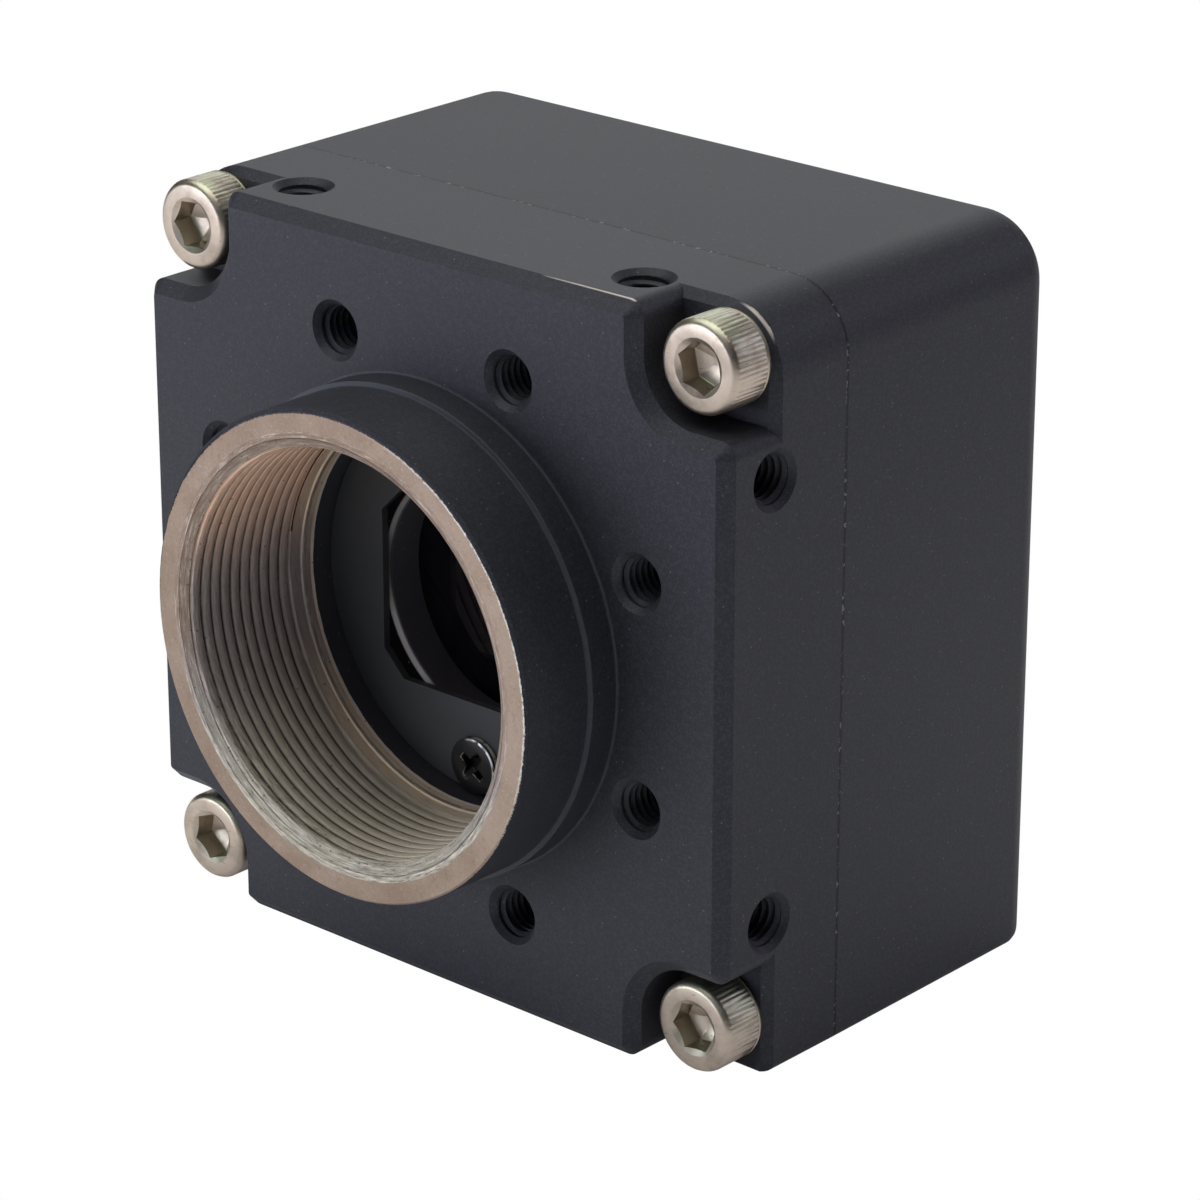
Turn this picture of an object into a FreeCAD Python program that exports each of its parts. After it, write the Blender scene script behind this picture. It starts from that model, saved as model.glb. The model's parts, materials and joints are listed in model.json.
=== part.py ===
import FreeCAD, Part
import math
import os

# Machine vision camera in a square machined housing with a C-mount lens barrel.
# Millimetres. +Z is up, the lens looks along -Y, +X is to the right seen from the front.
# The origin is under the middle of the whole camera, on the plane that it stands on.

Vector = FreeCAD.Vector

# Housing, both halves
body_width = 45.7
body_height = 45.7
body_depth = 29.0
front_depth = 10.2
upper_edge_radius = 4.0
lower_edge_radius = 0.4
rear_rim_radius = 1.3
front_chamfer = 0.78
housing_wall = 2.2
rear_wall = 2.4
seal_width = 1.0
seal_height = 0.6

# Corner screws, M3 socket heads, and the pockets that hold their heads
corner_inset = 3.05
pocket_radius = 3.6
pocket_depth = 4.1
pocket_floor_chamfer = 0.55
post_radius = 3.3
screw_radius = 1.5
screw_length = 12.0
screw_head_radius = 2.75
screw_head_height = 3.0
screw_head_bevel = 0.2
screw_socket_width = 2.5
screw_socket_depth = 1.5
screw_socket_mouth_radius = 1.6
thread_clearance = 0.05
thread_run_out = 1.5

# Lens barrel: 1-32 UN thread, 25.4 across, image plane 17.526 behind its face
flange_focal_distance = 17.526
barrel_length = 7.2
barrel_radius = 14.75
barrel_edge_bevel = 0.15
collar_radius = 15.0
collar_height = 2.1
mount_thread_radius = 12.7
mount_thread_length = 8.5
mount_mouth_radius = 13.0
mount_mouth_depth = 0.5
land_radius = 12.1
land_bevel = 0.2
runout_radius = land_radius + land_bevel
runout_length = 0.8

# Tapped M3 fixing holes
hole_radius = 1.5
hole_mouth_radius = 1.85
hole_depth = 5.0
drill_point = 0.9
front_hole_count = 8
front_hole_circle = 35.5
side_hole_spacing = 26.6
side_hole_setback = 4.1

# Mask plate behind the lens thread, and the window behind it
mask_front_depth = 4.4
mask_thickness = 0.5
mask_clearance = 0.1
mask_opening_width = 15.25
mask_opening_height = 12.8
mask_opening_cut = 1.6
mask_opening_top_cut = 2.35
mask_screw_offset = 10.2
small_screw_radius = 1.0
small_head_radius = 1.75
small_head_height = 0.6
small_head_dome = 0.2
mask_screw_length = 2.2
cross_length = 1.7
cross_width = 0.45
cross_depth = 0.4
window_radius = 7.7
window_bevel = 0.35
filter_radius = 9.4
filter_thickness = 1.0
filter_clearance = 0.1

# Image sensor
die_width = 11.0
die_height = 8.8
die_thickness = 0.5
cover_gap = 0.7
cover_thickness = 0.7
cover_width = 17.0
cover_height = 15.0
package_width = 20.0
package_height = 18.0
package_floor = 0.8
package_ledge = 1.2
seal_lip = 0.4
seal_fit = 0.15
seal_skirt = 1.3

# Circuit boards, the moulded frames that clamp them and the connectors that join them
board_thickness = 1.4
board_clearance = 1.4
board_notch_gap = 0.6
frame_width = 1.6
stack_connector_width = 18.0
stack_connector_height = 4.4
stack_connector_rise = 8.3
link_connector_width = 14.0
link_connector_height = 3.6
link_connector_rise = 13.3
plug_height = 2.2

# Processor, its memory and the path for its heat
processor_width = 13.0
processor_thickness = 1.4
memory_width = 8.0
memory_height = 10.0
memory_thickness = 1.0
memory_offset = 8.0
pad_thickness = 1.0
heat_block_width = 16.0
heat_block_gap = 1.5

# Back of the camera: data jack, round signal connector and status light
interface_board_margin = 1.2
jack_width = 12.4
jack_height = 3.0
jack_depth = 5.0
jack_wall = 0.3
jack_clearance = 0.15
jack_rise = 18.7
tongue_width = 9.6
tongue_height = 0.7
tongue_recess = 0.6
lock_hole_spacing = 18.0
lock_hole_radius = 1.0
lock_hole_depth = 1.8
round_side_gap = 15.3
round_rise = 10.9
round_thread_radius = 4.6
round_bore_radius = 3.7
round_reach = 4.6
round_base_length = 2.0
round_clearance = 0.1
nut_width = 11.0
nut_height = 1.6
insert_recess = 3.6
pin_count = 6
pin_circle_radius = 2.2
pin_radius = 0.3
pin_reach = 2.6
light_side_gap = 13.5
light_radius = 1.0
light_clearance = 0.05
light_flange_radius = 1.6
light_flange_height = 0.8
led_width = 1.8
led_height = 0.7

# Places that follow from the sizes above, as depths behind the front face
overall_depth = barrel_length + body_depth + round_reach
front_y = barrel_length - overall_depth / 2
axis_z = body_height / 2
screw_x = body_width / 2 - corner_inset
screw_z = body_height / 2 - corner_inset
image_plane = flange_focal_distance - barrel_length
cover_front = image_plane - cover_gap - cover_thickness
web_back = cover_front - seal_lip
mask_seat = mask_front_depth + mask_thickness
sensor_board_front = image_plane + die_thickness + package_floor
sensor_board_back = sensor_board_front + board_thickness
interface_board_back = body_depth - jack_depth
interface_board_front = interface_board_back - board_thickness
processor_board_front = (sensor_board_back + interface_board_front - board_thickness) / 2
processor_board_back = processor_board_front + board_thickness
pad_front = processor_board_back + processor_thickness
pad_back = pad_front + pad_thickness
inner_back = body_depth - rear_wall
insert_face = body_depth + round_reach - insert_recess
round_x = round_side_gap - body_width / 2
round_z = round_rise - body_height / 2
light_x = body_width / 2 - light_side_gap
jack_z = jack_rise - body_height / 2
interface_top = jack_z + jack_height / 2 + interface_board_margin
board_half_width = body_width / 2 - housing_wall - board_clearance
board_half_height = body_height / 2 - housing_wall - board_clearance
heat_block_bottom = interface_top + heat_block_gap
heat_block_top = board_half_height - frame_width - heat_block_gap
processor_z = (heat_block_bottom + heat_block_top) / 2
beyond = body_width + body_depth

corners = [(x, z) for x in (-1, 1) for z in (-1, 1)]
full_turn = 360.0


def at(x, depth, z):
    return Vector(x, front_y + depth, axis_z + z)


def rod(radius, near, far, x=0.0, z=0.0):
    return Part.makeCylinder(radius, far - near, at(x, near, z), Vector(0, 1, 0))


def block(width, height, near, far, x=0.0, z=0.0):
    corner = at(x - width / 2, near, z - height / 2)
    return Part.makeBox(width, far - near, height, corner)


def turned(outline, x=0.0, z=0.0):
    # outline is a closed run of (radius, depth) pairs, turned about the depth axis
    points = [at(x + radius, depth, z) for radius, depth in outline]
    face = Part.Face(Part.makePolygon(points + points[:1]))
    return face.revolve(at(x, 0, z), Vector(0, 1, 0), full_turn)


def prism(sides, width, near, far, x=0.0, z=0.0, turn=0.0):
    # regular bar of the given width across flats
    reach = width / 2 / math.cos(math.pi / sides)
    angles = [turn + 2 * math.pi * step / sides for step in range(sides)]
    points = [at(x + reach * math.cos(a), near, z + reach * math.sin(a)) for a in angles]
    face = Part.Face(Part.makePolygon(points + points[:1]))
    return face.extrude(Vector(0, far - near, 0))


def joined(shapes):
    first = shapes[0]
    return first.fuse(shapes[1:]) if len(shapes) > 1 else first


def less(shape, tools):
    return shape.cut(tools)


def depth_edges(shape, x, z, tolerance=0.01):
    # edges that run along the depth at one corner of the outline
    found = []
    for edge in shape.Edges:
        box = edge.BoundBox
        straight = box.XLength < tolerance and box.ZLength < tolerance
        near_x = abs(box.XMin - x) < tolerance
        near_z = abs(box.ZMin - axis_z - z) < tolerance
        if straight and near_x and near_z:
            found.append(edge)
    return found


def flat_edges(shape, depth, tolerance=0.01):
    # edges that lie in one plane across the depth
    y = front_y + depth
    return [e for e in shape.Edges
            if abs(e.BoundBox.YMin - y) < tolerance and abs(e.BoundBox.YMax - y) < tolerance]


def long_edges_rounded(solid, radius, z):
    edges = depth_edges(solid, body_width / 2, z) + depth_edges(solid, -body_width / 2, z)
    return solid.makeFillet(radius, edges)


def corner_column(radius, near, far, side_x, side_z):
    # a round column on the screw axis that opens straight out to both faces of its corner
    x = side_x * screw_x
    z = side_z * screw_z
    round_part = rod(radius, near, far, x, z)
    out = beyond
    wide = block(out, out + radius, near, far, x + side_x * out / 2, z + side_z * (out - radius) / 2)
    tall = block(out + radius, out, near, far, x + side_x * (out - radius) / 2, z + side_z * out / 2)
    return joined([round_part, wide, tall])


def cavity(near, far, wall, column_radius):
    # the room inside the walls, less the four corner columns
    room = block(body_width - 2 * wall, body_height - 2 * wall, near, far)
    return less(room, [corner_column(column_radius, near, far, x, z) for x, z in corners])


def tapped_hole(place, into):
    # mouth bevel, full-size wall and the point left by the drill
    start = place - into * (hole_mouth_radius - hole_radius)
    mouth = Part.makeCone(2 * hole_mouth_radius - hole_radius, hole_radius,
                          2 * (hole_mouth_radius - hole_radius), start, into)
    wall = Part.makeCylinder(hole_radius, hole_depth, place, into)
    point = Part.makeCone(hole_radius, 0, drill_point, place + into * hole_depth, into)
    return joined([mouth, wall, point])


def fixing_holes():
    tools = []
    for step in range(front_hole_count):
        angle = 2 * math.pi * (step + 0.5) / front_hole_count
        x = front_hole_circle / 2 * math.cos(angle)
        z = front_hole_circle / 2 * math.sin(angle)
        tools.append(tapped_hole(at(x, 0, z), Vector(0, 1, 0)))
    half = side_hole_spacing / 2
    for along in (-half, half):
        for way in (-1, 1):
            side = at(way * body_width / 2, side_hole_setback, along)
            level = at(along, side_hole_setback, way * body_height / 2)
            tools.append(tapped_hole(side, Vector(-way, 0, 0)))
            tools.append(tapped_hole(level, Vector(0, 0, -way)))
    return tools


def flange_plate():
    # front plate with a pocket at each corner, bevelled all round its front edge
    plate = block(body_width, body_height, 0, pocket_depth + pocket_floor_chamfer)
    reach = pocket_depth + pocket_floor_chamfer
    plate = less(plate, [corner_column(pocket_radius, 0, reach, x, z) for x, z in corners])
    corner_radius = front_chamfer + body_width / 200
    tips = []
    for x, z in corners:
        tips += depth_edges(plate, x * body_width / 2, z * (screw_z - pocket_radius))
        tips += depth_edges(plate, x * (screw_x - pocket_radius), z * body_height / 2)
    plate = plate.makeFillet(corner_radius, tips)
    return plate.makeChamfer(front_chamfer, flat_edges(plate, 0))


def rear_plate():
    # behind the pockets the front housing has the full outline, bevelled on the sides and top
    plate = block(body_width, body_height, pocket_depth, front_depth)
    plate = long_edges_rounded(plate, upper_edge_radius, body_height / 2)
    rim = [e for e in flat_edges(plate, pocket_depth) if e.BoundBox.ZMax > upper_edge_radius]
    plate = plate.makeChamfer(pocket_floor_chamfer, rim)
    return long_edges_rounded(plate, lower_edge_radius, -body_height / 2)


def barrel_solid():
    return turned([
        (0, -barrel_length),
        (barrel_radius - barrel_edge_bevel, -barrel_length),
        (barrel_radius, -barrel_length + barrel_edge_bevel),
        (barrel_radius, -collar_height),
        (collar_radius, -collar_height),
        (collar_radius, pocket_depth),
        (0, pocket_depth),
    ])


def lens_bore():
    # thread bore, plain bore behind it, land and the recess down to the mask seat
    face = -barrel_length
    thread_end = face + mount_thread_length
    runout_end = thread_end + runout_length
    return turned([
        (0, face - mount_mouth_depth),
        (2 * mount_mouth_radius - mount_thread_radius, face - mount_mouth_depth),
        (mount_thread_radius, face + mount_mouth_depth),
        (mount_thread_radius, thread_end),
        (runout_radius, thread_end),
        (runout_radius, runout_end),
        (land_radius, runout_end + land_bevel),
        (land_radius, mask_seat),
        (0, mask_seat),
    ])


def window_bore():
    # light passage through the web, and the seat for the filter glass on its far side
    filter_front = web_back - filter_thickness
    return turned([
        (0, mask_seat - window_bevel),
        (window_radius + 2 * window_bevel, mask_seat - window_bevel),
        (window_radius, mask_seat + window_bevel),
        (window_radius, filter_front),
        (filter_radius + filter_clearance, filter_front),
        (filter_radius + filter_clearance, web_back + seal_lip),
        (0, web_back + seal_lip),
    ])


def front_housing():
    solid = joined([flange_plate(), rear_plate(), barrel_solid()])
    tools = [lens_bore(), window_bore()]
    tools.append(cavity(web_back, front_depth, housing_wall, post_radius))
    tools += fixing_holes()
    for x, z in corners:
        tools.append(rod(screw_radius + thread_clearance, pocket_depth, front_depth,
                         x * screw_x, z * screw_z))
    for way in (-1, 1):
        tools.append(rod(small_screw_radius + thread_clearance, mask_seat, mask_seat + mask_bite(),
                         0, way * mask_screw_offset))
    return less(solid, tools)


def mask_bite():
    return mask_screw_length - mask_thickness


def rear_housing():
    shell = block(body_width, body_height, front_depth, body_depth)
    shell = long_edges_rounded(shell, upper_edge_radius, body_height / 2)
    shell = shell.makeFillet(rear_rim_radius, flat_edges(shell, body_depth))
    shell = long_edges_rounded(shell, lower_edge_radius, -body_height / 2)
    room = cavity(front_depth, inner_back, housing_wall, post_radius)
    seal_room = cavity(front_depth, front_depth + seal_height, housing_wall - seal_width,
                       post_radius - seal_width)
    shell = less(shell, [room, seal_room])
    heat_block = block(heat_block_width, heat_block_top - heat_block_bottom, pad_back, inner_back,
                       0, processor_z)
    shell = joined([shell, heat_block])
    tools = []
    screw_end = pocket_depth + screw_length
    for x, z in corners:
        tools.append(rod(screw_radius + thread_clearance, front_depth, screw_end + thread_run_out,
                         x * screw_x, z * screw_z))
    tools.append(block(jack_width + 2 * jack_clearance, jack_height + 2 * jack_clearance,
                       inner_back, body_depth, 0, jack_z))
    tools.append(rod(round_thread_radius + round_clearance, inner_back, body_depth, round_x, round_z))
    tools.append(rod(light_radius + light_clearance, inner_back, body_depth, light_x, round_z))
    for way in (-1, 1):
        tools.append(rod(lock_hole_radius, body_depth - lock_hole_depth, body_depth,
                         way * lock_hole_spacing / 2, jack_z))
    return less(shell, tools)


def housing_seal():
    outer = cavity(front_depth, front_depth + seal_height, housing_wall - seal_width,
                   post_radius - seal_width)
    inner = cavity(front_depth, front_depth + seal_height, housing_wall, post_radius)
    return less(outer, [inner])


def corner_screws():
    # socket head with a bevelled edge, a coned socket mouth and a plain shank
    head_front = pocket_depth - screw_head_height
    mouth_drop = screw_socket_mouth_radius - screw_socket_width / 2
    solids = []
    for x, z in corners:
        centre_x = x * screw_x
        centre_z = z * screw_z
        body = turned([
            (0, head_front),
            (screw_head_radius - screw_head_bevel, head_front),
            (screw_head_radius, head_front + screw_head_bevel),
            (screw_head_radius, pocket_depth),
            (screw_radius, pocket_depth),
            (screw_radius, pocket_depth + screw_length),
            (0, pocket_depth + screw_length),
        ], centre_x, centre_z)
        socket = prism(6, screw_socket_width, head_front, head_front + screw_socket_depth,
                       centre_x, centre_z, math.pi / 6)
        mouth = Part.makeCone(screw_socket_mouth_radius, 0, screw_socket_mouth_radius,
                              at(centre_x, head_front, centre_z), Vector(0, 1, 0))
        mouth = mouth.common(rod(screw_socket_mouth_radius, head_front, head_front + mouth_drop,
                                 centre_x, centre_z))
        solids.append(less(body, [socket, mouth]))
    return Part.makeCompound(solids)


def mask_opening():
    # eight-sided opening, its upper corners cut further than the lower ones
    half_w = mask_opening_width / 2
    half_h = mask_opening_height / 2
    low = mask_opening_cut
    top = mask_opening_top_cut
    points = [
        (half_w, -half_h + low), (half_w, half_h - top), (half_w - top, half_h), (-half_w + top, half_h),
        (-half_w, half_h - top), (-half_w, -half_h + low), (-half_w + low, -half_h), (half_w - low, -half_h),
    ]
    ring = [at(x, mask_front_depth, z) for x, z in points]
    return Part.Face(Part.makePolygon(ring + ring[:1])).extrude(Vector(0, mask_thickness, 0))


def mask_plate():
    plate = rod(land_radius - mask_clearance, mask_front_depth, mask_seat)
    tools = [mask_opening()]
    for way in (-1, 1):
        tools.append(rod(small_screw_radius + thread_clearance, mask_front_depth, mask_seat,
                         0, way * mask_screw_offset))
    return less(plate, tools)


def small_screw(seat, length, x, z, way):
    # pan head screw, its head on the side that way points away from
    front = seat - way * small_head_height
    profile = [
        (0, front),
        (small_head_radius - small_head_dome, front),
        (small_head_radius, front + way * small_head_dome),
        (small_head_radius, seat),
        (small_screw_radius, seat),
        (small_screw_radius, seat + way * length),
        (0, seat + way * length),
    ]
    return turned(profile, x, z)


def mask_screws():
    solids = []
    front = mask_front_depth - small_head_height
    for way in (-1, 1):
        z = way * mask_screw_offset
        screw = small_screw(mask_front_depth, mask_screw_length, 0, z, 1)
        cross = [block(cross_length, cross_width, front, front + cross_depth, 0, z),
                 block(cross_width, cross_length, front, front + cross_depth, 0, z)]
        solids.append(less(screw, cross))
    return Part.makeCompound(solids)


def filter_glass():
    return rod(filter_radius, web_back - filter_thickness, web_back)


def sensor_package():
    # ceramic tray: a floor for the die and a stepped rim for the cover glass
    body = block(package_width, package_height, cover_front, sensor_board_front)
    glass_room = block(cover_width + 2 * seal_fit, cover_height + 2 * seal_fit,
                       cover_front, cover_front + cover_thickness)
    die_room = block(cover_width - 2 * package_ledge, cover_height - 2 * package_ledge,
                     cover_front, image_plane + die_thickness)
    return less(body, [glass_room, die_room])


def sensor_cover_glass():
    return block(cover_width, cover_height, cover_front, cover_front + cover_thickness)


def sensor_die():
    return block(die_width, die_height, image_plane, image_plane + die_thickness)


def sensor_seal():
    # moulded frame: a lip against the filter and a skirt round the sensor
    outer_w = package_width + 2 * (seal_fit + seal_skirt)
    outer_h = package_height + 2 * (seal_fit + seal_skirt)
    frame = block(outer_w, outer_h, web_back, sensor_board_front)
    sensor_room = block(package_width + 2 * seal_fit, package_height + 2 * seal_fit,
                        cover_front, sensor_board_front)
    window = block(die_width, die_height, web_back, cover_front)
    return less(frame, [sensor_room, window])


def board_outline(near, far, tools=()):
    # square outline cut clear of the corner columns
    plate = block(2 * board_half_width, 2 * board_half_height, near, far)
    cuts = [corner_column(post_radius + board_notch_gap, near, far, x, z) for x, z in corners]
    return less(plate, cuts + list(tools))


def board(near, tools=()):
    return board_outline(near, near + board_thickness, tools)


def board_frame(near, far, tools=()):
    # moulded rim that follows the board's edge, corner notches included, and holds two boards apart
    room = block(2 * (board_half_width - frame_width), 2 * (board_half_height - frame_width), near, far)
    reach = post_radius + board_notch_gap + frame_width
    room = less(room, [corner_column(reach, near, far, x, z) for x, z in corners])
    return board_outline(near, far, [room] + list(tools))


def above_interface():
    # the space over the interface board, which covers the lower part of the stack only
    top = board_half_height + frame_width
    return block(beyond, top - interface_top, sensor_board_back, inner_back, 0, (top + interface_top) / 2)


def interface_board():
    # stops below the block that takes the processor's heat
    return board(interface_board_front, [above_interface()])


def connector_pair(width, height, near, far, z):
    # plug half and the socket half that closes the gap between two boards
    middle = near + plug_height
    return block(width, height, near, middle, 0, z), block(width, height, middle, far, 0, z)


def processor_chip():
    return block(processor_width, processor_width, processor_board_back, pad_front, 0, processor_z)


def memory_chips():
    back = processor_board_front
    return Part.makeCompound([
        block(memory_width, memory_height, back - memory_thickness, back, way * memory_offset, processor_z)
        for way in (-1, 1)])


def thermal_pad():
    return block(processor_width, processor_width, pad_front, pad_back, 0, processor_z)


def data_jack():
    # pressed metal shell of the flat data socket
    shell = block(jack_width, jack_height, interface_board_back, body_depth, 0, jack_z)
    shell = shell.makeFillet(jack_height / 5, [e for e in shell.Edges if e.BoundBox.YLength > jack_depth / 2])
    room = block(jack_width - 2 * jack_wall, jack_height - 2 * jack_wall,
                 interface_board_back + jack_wall, body_depth, 0, jack_z)
    return less(shell, [room])


def data_jack_tongue():
    return block(tongue_width, tongue_height, interface_board_back + jack_wall,
                 body_depth - tongue_recess, 0, jack_z)


def round_connector_shell():
    # threaded tube with a base flange that bears on the inside of the rear wall
    flange_front = inner_back - round_base_length
    mouth = body_depth + round_reach
    bevel = (round_thread_radius - round_bore_radius) / 3
    return turned([
        (round_bore_radius, flange_front),
        (round_thread_radius + round_clearance * 8, flange_front),
        (round_thread_radius + round_clearance * 8, inner_back),
        (round_thread_radius, inner_back),
        (round_thread_radius, mouth - bevel),
        (round_thread_radius - bevel, mouth),
        (round_bore_radius, mouth),
    ], round_x, round_z)


def round_connector_insert():
    # insulator that carries the pins, down to the interface board
    return rod(round_bore_radius, interface_board_back, insert_face, round_x, round_z)


def round_connector_pins():
    pins = []
    for step in range(pin_count):
        angle = 2 * math.pi * step / pin_count
        x = pin_circle_radius * math.cos(angle) + round_x
        z = pin_circle_radius * math.sin(angle) + round_z
        pins.append(rod(pin_radius, insert_face, insert_face + pin_reach, x, z))
    return Part.makeCompound(pins)


def round_connector_nut():
    nut = prism(6, nut_width, body_depth, body_depth + nut_height, round_x, round_z)
    bore = rod(round_thread_radius, body_depth, body_depth + nut_height, round_x, round_z)
    return less(nut, [bore])


def status_light_pipe():
    return joined([
        rod(light_radius, inner_back - light_flange_height, body_depth, light_x, round_z),
        rod(light_flange_radius, inner_back - light_flange_height, inner_back, light_x, round_z),
    ])


def status_led():
    return block(led_width, led_width, interface_board_back, interface_board_back + led_height,
                 light_x, round_z)


stack_plug, stack_socket = connector_pair(stack_connector_width, stack_connector_height,
                                          sensor_board_back, processor_board_front,
                                          stack_connector_rise - body_height / 2)
link_plug, link_socket = connector_pair(link_connector_width, link_connector_height,
                                        processor_board_back, interface_board_front,
                                        link_connector_rise - body_height / 2)

nodes = {
    "front_housing": front_housing(),
    "rear_housing": rear_housing(),
    "housing_seal": housing_seal(),
    "corner_screws": corner_screws(),
    "mask_plate": mask_plate(),
    "mask_screws": mask_screws(),
    "filter_glass": filter_glass(),
    "sensor_seal": sensor_seal(),
    "sensor_package": sensor_package(),
    "sensor_cover_glass": sensor_cover_glass(),
    "sensor_die": sensor_die(),
    "sensor_board": board(sensor_board_front),
    "front_frame": board_frame(web_back, sensor_board_front),
    "middle_frame": board_frame(sensor_board_back, processor_board_front),
    "processor_board": board(processor_board_front),
    "processor_chip": processor_chip(),
    "memory_chips": memory_chips(),
    "thermal_pad": thermal_pad(),
    "stack_plug": stack_plug,
    "stack_socket": stack_socket,
    "interface_board": interface_board(),
    "rear_frame": board_frame(processor_board_back, interface_board_front),
    "clamp_frame": board_frame(interface_board_back, inner_back, [above_interface()]),
    "link_plug": link_plug,
    "link_socket": link_socket,
    "data_jack": data_jack(),
    "data_jack_tongue": data_jack_tongue(),
    "round_connector_shell": round_connector_shell(),
    "round_connector_insert": round_connector_insert(),
    "round_connector_pins": round_connector_pins(),
    "round_connector_nut": round_connector_nut(),
    "status_light_pipe": status_light_pipe(),
    "status_led": status_led(),
}

os.makedirs("parts", exist_ok=True)
for name, shape in nodes.items():
    shape.exportStep("parts/" + name + ".step")
    print(name, len(shape.Solids), "solid(s)", round(shape.Volume, 2), "mm3", shape.isValid())
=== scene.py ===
import functools
import json
import math
import bmesh
import bpy
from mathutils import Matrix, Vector


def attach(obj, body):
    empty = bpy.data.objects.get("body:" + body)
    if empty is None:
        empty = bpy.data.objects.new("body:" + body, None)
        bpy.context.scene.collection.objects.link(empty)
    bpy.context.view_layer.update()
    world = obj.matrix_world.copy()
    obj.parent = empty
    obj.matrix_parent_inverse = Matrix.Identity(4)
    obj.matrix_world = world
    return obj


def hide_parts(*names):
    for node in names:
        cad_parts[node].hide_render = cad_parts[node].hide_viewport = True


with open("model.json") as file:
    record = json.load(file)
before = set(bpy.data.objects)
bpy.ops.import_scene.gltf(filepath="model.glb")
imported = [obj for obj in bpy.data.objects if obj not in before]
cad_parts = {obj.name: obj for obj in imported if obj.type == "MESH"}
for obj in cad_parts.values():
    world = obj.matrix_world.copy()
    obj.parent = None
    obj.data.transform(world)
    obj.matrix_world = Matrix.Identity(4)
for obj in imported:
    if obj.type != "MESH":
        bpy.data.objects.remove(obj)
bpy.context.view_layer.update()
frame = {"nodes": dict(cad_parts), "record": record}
nodes = frame["nodes"]
print("stage: frame loaded,", len(nodes), "nodes")

mm = 0.001
weldDistance = 1e-7  # metres; points nearer than this become one

# Sizes shared by several pieces, in millimetres. Depth runs back from the housing's front face,
# and x and z are counted from the lens axis.
layout = {
    "frontFaceY": -13.2,
    "axisZ": 22.85,
    "halfBody": 22.85,
    "bodyDepth": 29.0,
    "jointDepth": 10.2,
    "barrelLength": 7.2,
    "recessDepth": 2.97,
    "shelfDepth": 4.9,
    "windowRadius": 7.7,
}


def base(x, depth, z):
    # a point of the layout, in millimetres
    return Vector((x, layout["frontFaceY"] + depth, layout["axisZ"] + z))


def at(x, depth, z):
    # the same point in metres
    return base(x, depth, z) * mm


def toLinear(code):
    # sRGB text such as 3a3b40 to the linear colour that the shaders work in
    parts = [int(code[k:k + 2], 16) / 255 for k in (0, 2, 4)]
    return [p / 12.92 if p <= 0.04045 else ((p + 0.055) / 1.055) ** 2.4 for p in parts] + [1.0]


def feed(tree, socket, value):
    # a link where the value is another node's socket, else a number, a vector or a colour in hex
    if isinstance(value, bpy.types.NodeSocket):
        tree.links.new(value, socket)
    else:
        socket.default_value = toLinear(value) if isinstance(value, str) else value


def addNode(tree, kind, *inputs, **settings):
    # adds a node with its settings and links; inputs come in order or in one dictionary by name,
    # and the node's first output comes back
    made = tree.nodes.new("ShaderNode" + kind)
    for key, value in settings.items():
        setattr(made, key, value)
    if inputs and isinstance(inputs[0], dict):
        pairs = [(made.inputs[key], value) for key, value in inputs[0].items()]
    else:
        pairs = zip([socket for socket in made.inputs if socket.enabled], inputs)
    for socket, value in pairs:
        feed(tree, socket, value)
    return next(socket for socket in made.outputs if socket.enabled)


class Finish:
    # one material with its surface shader, and the masks and coats of its finish
    def __init__(self, name, colour, roughness, metallic=0.0):
        self.material = bpy.data.materials.new(name)
        self.material.use_nodes = True
        self.tree = self.material.node_tree
        self.add = functools.partial(addNode, self.tree)
        self.surface = self.tree.nodes["Principled BSDF"]
        self.place = self.add("TexCoord").node.outputs["Object"]
        self.set("Base Color", colour)
        self.set("Roughness", roughness)
        self.set("Metallic", metallic)

    def set(self, key, value):
        feed(self.tree, self.surface.inputs[key], value)

    def measure(self):
        # x, depth and z in millimetres, as in the layout, and the distance from the lens axis
        apart = self.add("SeparateXYZ", self.place).node.outputs
        self.x = self.add("Math", apart["X"], 1 / mm, operation="MULTIPLY")
        self.depth = self.add("Math", apart["Y"], 1 / mm, -layout["frontFaceY"], operation="MULTIPLY_ADD")
        self.z = self.add("Math", apart["Z"], 1 / mm, -layout["axisZ"], operation="MULTIPLY_ADD")
        self.radius = self.reach(self.x, self.z)

    def product(self, *terms):
        result = terms[0]
        for term in terms[1:]:
            result = self.add("Math", result, term, operation="MULTIPLY")
        return result

    def reach(self, x, z):
        squares = self.add("Math", self.product(x, x), self.product(z, z), operation="ADD")
        return self.add("Math", squares, operation="SQRT")

    def zone(self, value, soft, low=None, high=None):
        # mask that is 1 from low to high and changes over soft on each side of them; either may
        # be left out or be a socket
        def past(edge):
            shifted = value
            if isinstance(edge, bpy.types.NodeSocket):
                shifted, edge = self.add("Math", value, edge, operation="SUBTRACT"), 0.0
            return self.add("MapRange", shifted, edge - soft, edge + soft, interpolation_type="SMOOTHSTEP")

        rise = 1.0 if low is None else past(low)
        return rise if high is None else self.add("Math", rise, past(high), operation="SUBTRACT")

    def coats(self, colour, *layers):
        # lays colours over each other, each by its mask and, where it has one, its share
        for mask, paint, *share in layers:
            colour = self.add("Mix", self.product(mask, *share), colour, paint, data_type="RGBA")
        return colour

    def specks(self, perMm, radius, channel, limit):
        # small round dots, in the cells whose random colour is over the limit in one channel
        cells = self.add("TexVoronoi", self.place, perMm / mm).node.outputs
        dots = self.add("Math", cells["Distance"], radius, operation="LESS_THAN")
        tone = self.add("SeparateColor", cells["Color"]).node.outputs[channel]
        return self.product(dots, self.add("Math", tone, limit, operation="GREATER_THAN"))


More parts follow.
